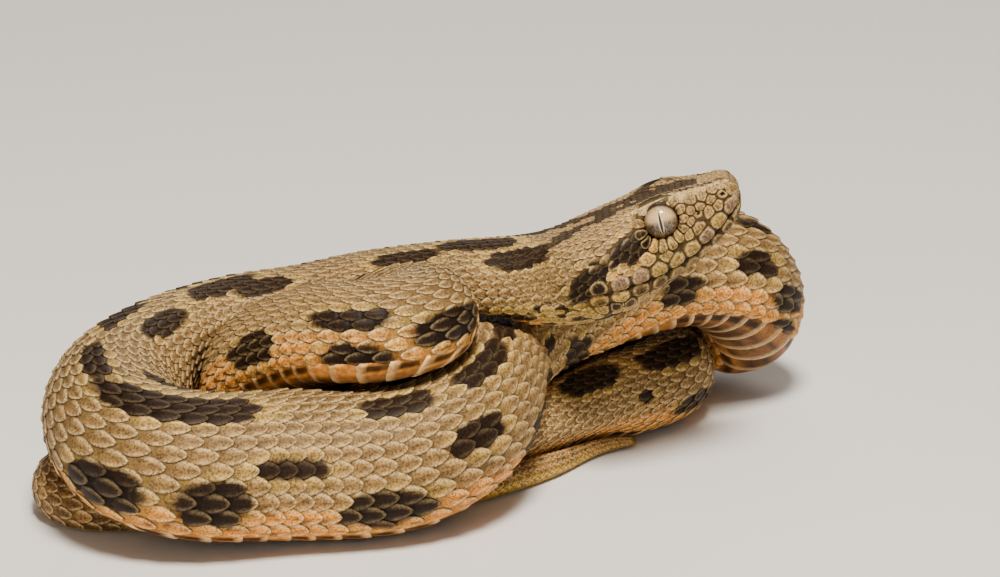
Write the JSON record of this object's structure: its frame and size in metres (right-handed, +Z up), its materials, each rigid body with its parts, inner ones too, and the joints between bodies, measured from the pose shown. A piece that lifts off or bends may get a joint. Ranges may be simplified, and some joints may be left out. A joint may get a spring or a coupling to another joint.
{
  "type": "coiled snake",
  "caption": "Coiled pit viper at rest on a floor, head raised over its loops; a still, life-size model of the whole animal.",
  "frame": {"origin": "middle of the footprint on the floor", "axes": "+Z up, +X the way the head points, -Y the side of the front run of the body"},
  "size_m": [0.1348, 0.1165, 0.0544],
  "materials": {
    "skin": "keeled scales, grey-brown with dark blotches and an orange-yellow belly edge",
    "eye": "clear glossy spectacle over a pale iris with an upright pupil"
  },
  "bodies": {
    "root": {"head": "skin", "neck": "skin", "trunk_1": "skin", "trunk_2": "skin", "trunk_3": "skin", "trunk_4": "skin", "trunk_5": "skin", "trunk_6": "skin", "trunk_7": "skin", "trunk_8": "skin", "trunk_9": "skin", "trunk_10": "skin", "trunk_11": "skin", "trunk_12": "skin", "tail": "skin", "eye_left": "eye", "eye_right": "eye"}
  },
  "joints": []
}
